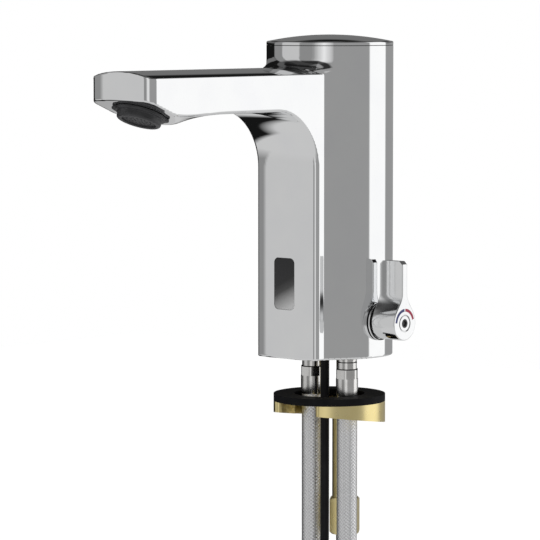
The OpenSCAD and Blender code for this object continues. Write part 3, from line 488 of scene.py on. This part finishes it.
def crossings(field, values, lo, h, axis):
    """Where the surface crosses the grid's edges along the axis.

    Returns the points, the four cells round each edge, and whether it starts inside."""
    n = values.shape
    inside = values < 0
    first = [slice(0, n[j] - 1) if j == axis else slice(1, n[j] - 1) for j in range(3)]
    second = list(first)
    second[axis] = slice(1, n[axis])
    start = np.argwhere(inside[tuple(first)] != inside[tuple(second)])
    start = start + np.array([0 if j == axis else 1 for j in range(3)])
    end = start.copy()
    end[:, axis] += 1
    f0 = values[tuple(start.T)]
    p0 = lo + h * start
    t0, t1 = np.zeros(len(f0)), np.ones(len(f0))
    g0, g1 = f0.copy(), values[tuple(end.T)]
    for _ in range(SEARCH_STEPS):
        t = t0 - g0 * (t1 - t0) / (g1 - g0)
        q = p0.copy()
        q[:, axis] += h * t
        ft = field(q[:, 0], q[:, 1], q[:, 2])
        left = (ft < 0) == (g0 < 0)
        t0, g0 = np.where(left, t, t0), np.where(left, ft, g0)
        t1, g1 = np.where(left, t1, t), np.where(left, g1, ft)
        g1 = np.where(np.abs(g1 - g0) < 1e-12, g1 + 1e-9, g1)
    q = p0.copy()
    q[:, axis] += h * t
    stride = np.array([n[1] * n[2], n[2], 1])
    cells = []
    for du, dv in ((-1, -1), (0, -1), (0, 0), (-1, 0)):
        c = start.copy()
        c[:, (axis + 1) % 3] += du
        c[:, (axis + 2) % 3] += dv
        cells.append(c @ stride)
    return q, np.stack(cells, 1), f0 < 0


def cell_vertices(pts, nrm, inv, corner, h):
    """One vertex to a cell: the point nearest to the planes of the cell's crossings.

    Also says which vertices lie in a smooth place."""
    m = len(corner)
    cnt, mass, mean = np.zeros(m), np.zeros((m, 3)), np.zeros((m, 3))
    ata, atb = np.zeros((m, 3, 3)), np.zeros((m, 3))
    outer = nrm[:, :, None] * nrm[:, None, :]
    for i in inv.T:
        np.add.at(cnt, i, 1)
        np.add.at(mass, i, pts)
        np.add.at(mean, i, nrm)
    mass /= cnt[:, None]
    for i in inv.T:
        np.add.at(ata, i, outer)
        dist = ((pts - mass[i]) * nrm).sum(1)
        np.add.at(atb, i, dist[:, None] * nrm)
    w, v = np.linalg.eigh(ata)
    keep = w > FREE_SHARE * w[:, 2:3]
    iw = np.where(keep, 1 / np.maximum(w, 1e-9), 0)
    step = np.einsum("mij,mj,mkj,mk->mi", v, iw, v, atb)
    vert = np.clip(mass + step, corner - CELL_SLACK * h, corner + (1 + CELL_SLACK) * h)
    return vert, np.linalg.norm(mean / cnt[:, None], axis=1) > ROUND_MEAN


def surface(name, field, lo, hi, h, mat):
    """A mesh of the surface where the field is zero, one vertex to a cell, edges kept."""
    lo = np.array(lo, float)
    n = np.ceil((np.array(hi) - lo) / h).astype(int) + 1
    gx, gy, gz = (lo[k] + h * np.arange(n[k]) for k in range(3))
    Y, Z = np.meshgrid(gy, gz, indexing="ij")
    values = np.stack([field(np.full_like(Y, x), Y, Z) for x in gx])
    found = zip(*(crossings(field, values, lo, h, axis) for axis in range(3)))
    pts, quads, flips = (np.concatenate(rows) for rows in found)
    cells, inv = np.unique(quads, return_inverse=True)
    inv = inv.reshape(quads.shape)
    place = np.stack([cells // (n[1] * n[2]), cells // n[2] % n[1], cells % n[2]], 1)
    vert, smooth = cell_vertices(pts, gradient(field, pts), inv, lo + h * place, h)
    for _ in range(SETTLE_STEPS):
        p = vert[smooth]
        vert[smooth] = p - gradient(field, p) * field(p[:, 0], p[:, 1], p[:, 2])[:, None]

    # Shading from the field itself, and from the face where the two disagree
    faces = np.where(flips[:, None], inv, inv[:, ::-1])
    quad = vert[faces]
    at = quad * (1 - TO_MIDDLE) + quad.mean(1)[:, None, :] * TO_MIDDLE
    loops = gradient(field, at.reshape(-1, 3))
    flat = np.cross(quad[:, 2] - quad[:, 0], quad[:, 3] - quad[:, 1])
    flat /= np.maximum(np.linalg.norm(flat, axis=1, keepdims=True), 1e-12)
    flat = np.repeat(flat, 4, 0)
    bad = (loops * flat).sum(1) < AGAINST
    loops[bad] = flat[bad]

    me = bpy.data.meshes.new(name)
    me.vertices.add(len(vert))
    me.vertices.foreach_set("co", (vert * MM).ravel())
    me.loops.add(len(faces) * 4)
    me.loops.foreach_set("vertex_index", faces.ravel())
    me.polygons.add(len(faces))
    me.polygons.foreach_set("loop_start", np.arange(0, len(faces) * 4, 4))
    me.update(calc_edges=True)
    me.polygons.foreach_set("use_smooth", np.ones(len(faces), bool))
    me.normals_split_custom_set([tuple(v) for v in loops])
    me.materials.append(mat.mat)
    ob = bpy.data.objects.new(name, me)
    scene.collection.objects.link(ob)
    return ob


# Sizes of the tap in millimetres, from the part's source

TOWER_R = 29.3
BAR_HALF = 18.3              # half the width of the spout and of the column's front
BAR_BACK = -9                # the spout's bar ends inside the tower
CORNER_Y = -25.27            # where the tower's flat flank ends at the column's side
PANE_Y = -28.5               # the plane behind the sensor window
FRONT_R, FRONT_Y = 96, 63.8  # the column's slightly round front
UNDERSIDE = 113.9
INNER_R = 26.5               # in the corner between the column and the spout
CROWN_R, CROWN_Z = 58, 75.2  # the spout's arched top
TIP_R, TIP_Y, TIP_CORNER_R = 96, -45, 4.1
LIP_Y = -100                 # in front of it the outlet's plane cuts the underside
SEAM_Z = 142.95              # where the cap sits on the body
CAVITY_R, CAVITY_H = 26.7, 11
WINDOW_Z, WINDOW_R = 34.5, 2.5
WINDOW_HALF_X, WINDOW_HALF_Z = 3.6, 9.4    # of its middle part, inside the corners' radius
LEVER_Z, LEVER_HOLE_R, LEVER_HOLE_X = 16.8, 8.5, 4
OUTLET_Y, OUTLET_Z, OUTLET_R, OUTLET_H = -126.6, 115.16, 10.85, 9
BOSS_R, BOSS_H, BOSS_FLARE, BOSS_FILLET = 16.4, 12, 1.38, 2.5
TILT = math.radians(21.4)    # of the outlet, whose stream leans away from the column
CT, ST = math.cos(TILT), math.sin(TILT)

# Edges. The bar's get softer down the column, and the fillet between tower and spout is on top
# of the spout only, where the flanks give way to the round tower as well.
BAR_EDGE, BAR_EDGE_MORE, BAR_EDGE_FROM = 1.7, 0.3, (-104, -86)     # in -z
ROOT_R, ROOT_MORE, ROOT_FROM = 0.35, 5.2, (129.8, 133)
FLANK_END = (129.5, 137)
CROWN_EDGE, BASE_EDGE, HOLE_EDGE = 0.6, 0.8, 0.3

# The flank is a plane that touches the tower and ends at the column's corner
TURN = math.atan2(-CORNER_Y, BAR_HALF) - math.acos(TOWER_R / math.hypot(BAR_HALF, CORNER_Y))
TOUCH = TOWER_R * math.sin(TURN)


def outlet_frame(x, y, z):
    """Seen from the outlet's tilted axis: across, along and the distance from it."""
    qy, qz = y - OUTLET_Y, z - OUTLET_Z
    across = CT * qy - ST * qz
    along = ST * qy + CT * qz
    return across, along, np.sqrt(x * x + across * across)


# The cast body, with the radii of a polished casting

def body_field(x, y, z):
    ax = np.abs(x)
    rho = np.sqrt(x * x + y * y)
    circ = rho - TOWER_R
    flank = np.maximum(ax * math.cos(TURN) - y * math.sin(TURN) - TOWER_R,
                       np.maximum(PANE_Y - y, y + TOUCH))
    lift = ease(z, *FLANK_END)
    tower = np.minimum(circ, flank) * (1 - lift) + circ * lift

    front = np.sqrt(x * x + (y - FRONT_Y) ** 2) - FRONT_R
    top = np.sqrt(x * x + np.maximum(z - CROWN_Z, 0) ** 2) - CROWN_R
    tip = np.sqrt(x * x + (y - TIP_Y) ** 2) - TIP_R
    _, along, rad = outlet_frame(x, y, z)
    boss = np.maximum((rad - BOSS_R - BOSS_FLARE * along) / math.hypot(1, BOSS_FLARE),
                      along - BOSS_H)
    boss = np.maximum(boss, np.where(along < 0, rad - BOSS_R, -9.0))
    profile = join_round(join_round(front, UNDERSIDE - z, INNER_R), boss, BOSS_FILLET)
    plan = np.maximum(clip_round(ax - BAR_HALF, tip, TIP_CORNER_R), y - BAR_BACK)
    bar = clip_round(profile, plan, BAR_EDGE + BAR_EDGE_MORE * ease(-z, *BAR_EDGE_FROM))
    bar = clip_round(bar, top, CROWN_EDGE)
    bar = clip_round(bar, np.where(y < LIP_Y, -along, -60.0), CROWN_EDGE)
    d = join_round(tower, bar, ROOT_R + ROOT_MORE * ease(z, *ROOT_FROM))
    d = np.maximum(d, z - SEAM_Z)
    d = clip_round(d, -z, BASE_EDGE)

    # Hollows: the cavity, the sensor's window, the lever's hole and the outlet
    d = clip_round(d, -np.maximum(rho - CAVITY_R, z - CAVITY_H), HOLE_EDGE)
    wx = np.maximum(ax - WINDOW_HALF_X, 0)
    wz = np.maximum(np.abs(z - WINDOW_Z) - WINDOW_HALF_Z, 0)
    d = np.maximum(d, -np.maximum(np.sqrt(wx * wx + wz * wz) - WINDOW_R, y - PANE_Y))
    hole = np.maximum(np.sqrt(y * y + (z - LEVER_Z) ** 2) - LEVER_HOLE_R, LEVER_HOLE_X - x)
    d = np.maximum(d, -hole)
    outlet = np.maximum(rad - OUTLET_R, np.maximum(along - OUTLET_H, -along - 3))
    return clip_round(d, -outlet, HOLE_EDGE)


body = surface("polished_body", body_field, (-31, -142.8, -1.6), (31, 31, 144.8), 0.8, chrome)
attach(body, "tap")
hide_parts("body_shell")


# Turned pieces, from profiles of (radius, height) pairs from the middle outwards

SHARP = math.radians(30)


def lathe(name, profile, mat, at=(0, 0, 0), along=(0, 0, 1), segments=256):
    turn = Vector((0, 0, 1)).rotation_difference(Vector(along)).to_matrix()
    verts = []
    for i in range(segments):
        a = 2 * math.pi * i / segments
        for r, h in profile:
            verts.append((turn @ Vector((r * math.cos(a), r * math.sin(a), h)) + Vector(at)) * MM)
    ob = new_object(name, verts, strip(segments, len(profile), closed=True), mat)
    ob.data.set_sharp_from_angle(angle=SHARP)
    return ob


def arc(cx, cy, r, a0, a1, steps=10):
    """Points round a fillet."""
    return [(cx + r * math.cos(math.radians(a0 + (a1 - a0) * i / steps)),
             cy + r * math.sin(math.radians(a0 + (a1 - a0) * i / steps)))
            for i in range(steps + 1)]


def ring(r0, r1, h0, h1):
    return [(r0, h0), (r1, h0), (r1, h1), (r0, h1)]


DOME_R, DOME_Z, DOME_EDGE = 140.02, 7.88, 28.6    # the dome of the cap, up to its rounded edge


def dome_z(r):
    return DOME_Z + math.sqrt(DOME_R ** 2 - r * r)


# Points of the dome, closer together towards its edge
DOME = [DOME_EDGE * (1 - (i / 24) ** 2) for i in range(1, 25)]
CAP = ([(21.5, 139.6), (26.4, 139.6), (26.4, 143.25), (29.3, 143.25)]
       + arc(DOME_EDGE, dome_z(DOME_EDGE) - 0.66, 0.7, 0, 80)
       + [(r + 0.02, dome_z(r)) for r in DOME]
       + [(0.02, 141), (21.5, 141)])
COLLAR = ([(5.3, 24.6), (8.7, 24.6), (8.7, 29.5), (8.2, 29.7), (8.2, 30.0)]
          + arc(8.1, 30.6, 0.6, 0, 90) + [(7.2, 31.2), (7.0, 30.6), (5.3, 30.6)])

# Black rings: under the cap and at both sides of the collar they fill the gaps as painted shade,
# and dark rings sit on the hoses' fittings
CAP_GAP_SHADE = ring(26.6, 29.1, 142.97, 143.23)
COLLAR_GAP_SHADE = ring(7.95, 8.45, 30.85, 31.5)
COLLAR_GROOVE_SHADE = ring(7.9, 8.62, 29.52, 30.02)
FITTING_STEP = ring(4.5, 5.0, -6.8, -6.4)
FITTING_NECK = ring(4.2, 4.66, -3.5, -3.15)
FITTING_X = 10.7


# The lever and what is set into its end

LEVER_END, LEVER_HALF = 45.0, 6.75
HUB_R, BLADE_HALF, BLADE_H, BLADE_FILLET, BEVEL = 7.8, 1.75, 28.4, 6, 1.6
PLUG_HOLE_R, PLUG_FLOOR = 3.95, 43.9
PLUG_R, PLUG_BORE_R, PLUG_BACK, PLUG_TOP = 3.5, 2.0, 44.05, 44.95
SCREW_R, SCREW_BACK, SCREW_TOP = 1.95, 43.95, 44.8
SOCKET_HALF, SOCKET_FLOOR = 1.25, 44.2
MARK_R, MARK_HALF, MARK_FLOOR = 6.1, 0.68, 44.7    # the groove of the two marks
MARK_START, COLD_END, HOT_END = 3, 85, 75          # of the marks, in degrees from the top
MARK_PLAY = 0.5                                    # from a mark's ends to its groove's


def lever_field(x, y, z):
    q = z - LEVER_Z
    rho = np.sqrt(y * y + q * q)
    blade = np.maximum(np.maximum(np.abs(y) - BLADE_HALF, q - BLADE_H), -q)
    d = join_round(rho - HUB_R, blade, BLADE_FILLET)
    faces = np.abs(x - (LEVER_END - LEVER_HALF)) - LEVER_HALF
    d = clip_round(d, faces, 0.45)
    d = clip_round(d, (faces + q - BLADE_H + BEVEL) / math.sqrt(2), 0.3)
    d = clip_round(d, -np.maximum(rho - PLUG_HOLE_R, PLUG_FLOOR - x), 0.1)
    turn = np.degrees(np.arctan2(np.abs(y), q))
    first, last = MARK_START - MARK_PLAY, np.where(y < 0, COLD_END, HOT_END) + MARK_PLAY
    groove = np.maximum(np.maximum(turn - last, first - turn) * rho * math.radians(1),
                        np.maximum(np.abs(rho - MARK_R) - MARK_HALF, MARK_FLOOR - x))
    return np.maximum(d, -groove)


def index_field(x, y, z):
    rho = np.sqrt(y * y + (z - LEVER_Z) ** 2)
    d = clip_round(rho - PLUG_R, np.maximum(x - PLUG_TOP, PLUG_BACK - x), 0.15)
    return clip_round(d, PLUG_BORE_R - rho, 0.12)


def socket_field(x, y, z):
    q = z - LEVER_Z
    d = np.maximum(np.sqrt(y * y + q * q) - SCREW_R, np.maximum(x - SCREW_TOP, SCREW_BACK - x))
    hexagon = np.maximum(np.abs(q), np.abs(q) / 2 + np.abs(y) * math.sqrt(0.75)) - SOCKET_HALF
    return np.maximum(d, -np.maximum(hexagon, SOCKET_FLOOR - x))


def enamel(name, side, upto, mat):
    """A flush arc of enamel in the lever's end, with a softly crowned top."""
    rows = [(5.46, 44.72), (5.46, 44.98), (5.8, 45.0), (6.4, 45.0), (6.74, 44.98), (6.74, 44.72)]
    steps = 48
    verts = []
    for i in range(steps + 1):
        a = math.radians(MARK_START + (upto - MARK_START) * i / steps)
        for r, x in rows:
            verts.append((x * MM, side * r * math.sin(a) * MM, (LEVER_Z + r * math.cos(a)) * MM))
    faces = strip(steps + 1, len(rows)) + ends(steps + 1, len(rows))
    if side < 0:
        faces = [f[::-1] for f in faces]
    return new_object(name, verts, faces, mat, False)


# The aerator's cup, with a flange and two ears

EAR, EAR_REACH, EAR_R = math.radians(41.7), 10.8, 2.0
CUP_R, CUP_LOW, CUP_HIGH, CUP_BORE_R = 9.9, -4.6, 9.2, 7.5
FLANGE_R, FLANGE_LOW, FLANGE_HIGH = 11.4, -1.5, -0.06


def aerator_field(x, y, z):
    across, along, rad = outlet_frame(x, y, z)
    level = np.maximum(FLANGE_LOW - along, along - FLANGE_HIGH)
    cup = clip_round(rad - CUP_R, np.maximum(CUP_LOW - along, along - CUP_HIGH), 1.1)
    flange = clip_round(rad - FLANGE_R, level, 0.45)
    u = np.abs(x * math.cos(EAR) + across * math.sin(EAR))
    v = -x * math.sin(EAR) + across * math.cos(EAR)
    ear = clip_round(np.sqrt(np.maximum(u - EAR_REACH, 0) ** 2 + v * v) - EAR_R, level, 0.6)
    d = join_round(join_round(cup, flange, 0.5), ear, 0.8)
    return clip_round(d, -np.maximum(rad - CUP_BORE_R, -along - 5), 0.5)


LEVER_AXIS = {"at": (0, 0, LEVER_Z), "along": (1, 0, 0), "segments": 128}
COLD_FITTING = {"at": (-FITTING_X, 0, 0), "segments": 96}
HOT_FITTING = {"at": (FITTING_X, 0, 0), "segments": 96}

for made, rides, node, slot in (
        # Painted shade: the first three are black rings in the gaps under the cap and round the
        # collar
        (lathe("cap_gap_shade", CAP_GAP_SHADE, rubber), "tap", None, "rubber"),
        (lathe("collar_gap_shade", COLLAR_GAP_SHADE, rubber, **LEVER_AXIS), "tap", None, "rubber"),
        (lathe("collar_groove_shade", COLLAR_GROOVE_SHADE, rubber, **LEVER_AXIS), "tap", None, "rubber"),
        (lathe("cold_step_ring", FITTING_STEP, rubber, **COLD_FITTING), "tap", None, "rubber"),
        (lathe("hot_step_ring", FITTING_STEP, rubber, **HOT_FITTING), "tap", None, "rubber"),
        (lathe("cold_neck_ring", FITTING_NECK, rubber, **COLD_FITTING), "tap", None, "rubber"),
        (lathe("hot_neck_ring", FITTING_NECK, rubber, **HOT_FITTING), "tap", None, "rubber"),
        (lathe("domed_cap", CAP, chrome), "tap", "top_cap", "chrome"),
        (surface("polished_lever", lever_field, (30.8, -8.5, 8.3), (45.7, 8.5, 45.9), 0.3, satin),
         "lever_assembly", "lever", "chrome"),
        (lathe("lever_collar", COLLAR, chrome, **LEVER_AXIS), "tap", "lever_base_ring", "chrome"),
        (surface("index_cap", index_field, (43.8, -4, 12.8), (45.2, 4, 20.8), 0.16, chrome),
         "lever_assembly", "lever_cap", "chrome"),
        (surface("socket_screw", socket_field, (43.7, -2.3, 14.5), (45.1, 2.3, 19.1), 0.14,
                 black_oxide), "lever_assembly", None, "steel"),
        (surface("aerator_cup", aerator_field, (-14, -142, 100), (14, -110, 128), 0.4,
                 black_plastic), "tap", "aerator_shell", "black_plastic"),
        (enamel("blue_enamel", -1, COLD_END, blue), "lever_assembly", "cold_mark", "blue_mark"),
        (enamel("red_enamel", 1, HOT_END, red), "lever_assembly", "hot_mark", "red_mark")):
    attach(made, rides)
    if node:
        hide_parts(node)


# Studio: bands of light and dark round the object, and a pale floor below it

world = bpy.data.worlds.new("studio")
scene.world = world
world.use_nodes = True
tree = world.node_tree
tree.nodes.clear()


def wnode(kind, **props):
    n = tree.nodes.new(kind)
    for k, v in props.items():
        setattr(n, k, v)
    return n


def feed(value, socket):
    """Sets the world node's socket to a number, or links it."""
    if isinstance(value, (int, float)):
        socket.default_value = value
    else:
        tree.links.new(value, socket)


def wmath(op, *values):
    n = wnode("ShaderNodeMath", operation=op)
    for value, socket in zip(values, n.inputs):
        feed(value, socket)
    return n.outputs[0]


def wmix(factor, a, b):
    n = wnode("ShaderNodeMix", data_type="FLOAT")
    for value, socket in ((factor, 0), (a, 2), (b, 3)):
        feed(value, n.inputs[socket])
    return n.outputs[0]


def bands(value, limit, stops, soft):
    """Brightness steps over a value from -limit to limit.

    The stops are (start, brightness), and each step is twice as wide as soft."""
    points = [stops[0]]
    for (_, before), (start, after) in zip(stops, stops[1:]):
        points += [(start - soft, before), (start + soft, after)]
    n = wnode("ShaderNodeValToRGB")
    el = n.color_ramp.elements
    for i, (p, v) in enumerate(points):
        p = (p + limit) / (2 * limit)
        e = el[i] if i < 2 else el.new(p)    # a new ramp already has two
        e.position, e.color = p, (v, v, v, 1)
    m = wnode("ShaderNodeMapRange")
    m.inputs["From Min"].default_value = -limit
    m.inputs["From Max"].default_value = limit
    tree.links.new(value, m.inputs["Value"])
    tree.links.new(m.outputs[0], n.inputs[0])
    s = wnode("ShaderNodeSeparateColor")
    tree.links.new(n.outputs[0], s.inputs[0])
    return s.outputs[0]


def by_azimuth(stops, soft):
    """Over the direction's azimuth, in degrees from +X."""
    return bands(azimuth, 180, stops, soft)


def by_height(stops, soft):
    """Over the direction's height above the horizon, in degrees."""
    return bands(elevation, 90, stops, soft)


wcoord = wnode("ShaderNodeTexCoord")
wsep = wnode("ShaderNodeSeparateXYZ")
tree.links.new(wcoord.outputs["Generated"], wsep.inputs[0])
wx, wy, wz = wsep.outputs
azimuth = wmath("MULTIPLY", wmath("ARCTAN2", wy, wx), 180 / math.pi)
elevation = wmath("MULTIPLY", wmath("ARCSINE", wz), 180 / math.pi)

BLACK_FLAG = 0.008

# The walls round the horizon, brightest at the camera's right, with a soft box behind it
walls = by_azimuth([(-180, BLACK_FLAG), (-170.2, 0.27), (-146.2, 0.57), (-106.4, 0.27),
                    (-81.6, 0.32), (27.4, 1.05), (72.0, 0.32), (129.5, BLACK_FLAG)], 1.2)
soft_box = by_azimuth([(-180, 0.0), (-80, 0.44), (-72, 0.66), (-64, 0.86), (-56, 0.68),
                       (-48, 0.46), (-41, 0.0)], 3.5)
walls = wmath("MAXIMUM", walls, soft_box)
# Higher up the front walls fade, and those behind the object have dark and pale bands
behind = by_azimuth([(-180, 1.0), (-170, 0.0), (75, 1.0)], 4)
back_wall = by_height([(-90, 0.0), (0.6, 0.165), (20, BLACK_FLAG), (33, 0.1), (46, 0.01)], 1.2)
front_wall = wmath("MULTIPLY", walls, by_height([(-90, 1.0), (37, 0.09)], 7))
ceiling = by_height([(-90, 0.0), (76, 0.3)], 4)
upper = wmath("MAXIMUM", wmix(behind, front_wall, back_wall), ceiling)
above = by_height([(-90, 0.0), (0.4, 1.0)], 0.4)
# Below, the walls turn into an even ground, with a black flag low behind the object
flag = wmath("MULTIPLY", by_azimuth([(-180, 1.0), (-165, 0.0), (143, 1.0)], 3),
             by_height([(-90, 0.0), (-46.5, 1.0)], 3))
flag = wmath("MULTIPLY", flag, by_height([(-90, 1.0), (-4, 0.0)], 3))
ground = by_height([(-90, 1.0), (-20, 0.0)], 6)
sky = wmix(above, walls, upper)
sky = wmix(ground, sky, 0.6)
sky = wmix(flag, sky, BLACK_FLAG)

# The camera sees plain white where the object reflects the bands
rays = wnode("ShaderNodeLightPath")
seen = wmath("MAXIMUM", rays.outputs["Is Camera Ray"], rays.outputs["Is Transmission Ray"])
reflected = wnode("ShaderNodeBackground")
tree.links.new(sky, reflected.inputs["Color"])
white = wnode("ShaderNodeBackground")
white.inputs["Color"].default_value = (1, 1, 1, 1)
mix = wnode("ShaderNodeMixShader")
tree.links.new(seen, mix.inputs[0])
tree.links.new(reflected.outputs[0], mix.inputs[1])
tree.links.new(white.outputs[0], mix.inputs[2])
wout = wnode("ShaderNodeOutputWorld")
tree.links.new(mix.outputs[0], wout.inputs[0])

# The floor keeps the shadow, and its glow lifts it to the background's white for the camera
FLOOR_DROP, FLOOR_HALF = 0.002, 3.0
FLOOR_COLOUR, FLOOR_GLOW, FLOOR_GLOW_SEEN = 0.85, 0.35, 0.86

floor_mat = bpy.data.materials.new("floor")
floor_mat.use_nodes = True
ft = floor_mat.node_tree
ft.nodes.clear()
f_out = ft.nodes.new("ShaderNodeOutputMaterial")
f_diff = ft.nodes.new("ShaderNodeBsdfDiffuse")
f_diff.inputs["Color"].default_value = (FLOOR_COLOUR, FLOOR_COLOUR, FLOOR_COLOUR, 1)
f_plain = ft.nodes.new("ShaderNodeEmission")
f_plain.inputs["Strength"].default_value = FLOOR_GLOW
f_seen = ft.nodes.new("ShaderNodeEmission")
f_seen.inputs["Strength"].default_value = FLOOR_GLOW_SEEN
f_rays = ft.nodes.new("ShaderNodeLightPath")
f_mix = ft.nodes.new("ShaderNodeMixShader")
f_add = ft.nodes.new("ShaderNodeAddShader")
ft.links.new(f_rays.outputs["Is Camera Ray"], f_mix.inputs[0])
ft.links.new(f_plain.outputs[0], f_mix.inputs[1])
ft.links.new(f_seen.outputs[0], f_mix.inputs[2])
ft.links.new(f_diff.outputs[0], f_add.inputs[0])
ft.links.new(f_mix.outputs[0], f_add.inputs[1])
ft.links.new(f_add.outputs[0], f_out.inputs[0])

floor_z = cad_box[0][2] - FLOOR_DROP
floor = bpy.data.meshes.new("floor")
floor.from_pydata([(x * FLOOR_HALF, y * FLOOR_HALF, floor_z)
                   for x, y in ((-1, -1), (1, -1), (1, 1), (-1, 1))], [], [(0, 1, 2, 3)])
floor.materials.append(floor_mat)
floor_ob = bpy.data.objects.new("floor", floor)
scene.collection.objects.link(floor_ob)
floor_ob.visible_glossy = False


def area_light(name, pos, size, power):
    """A round soft light towards the origin, which the chrome doesn't show."""
    data = bpy.data.lights.new(name, "AREA")
    data.shape = "DISK"
    data.size = size
    data.energy = power
    ob = bpy.data.objects.new(name, data)
    scene.collection.objects.link(ob)
    ob.location = pos
    ob.rotation_euler = (-Vector(pos)).to_track_quat("-Z", "Y").to_euler()
    ob.visible_glossy = False


area_light("key", (1.4, -0.6, 1.2), 0.8, 14)
area_light("fill", (-1.2, -1.2, 0.6), 0.9, 7)

scene.view_settings.view_transform = "Standard"
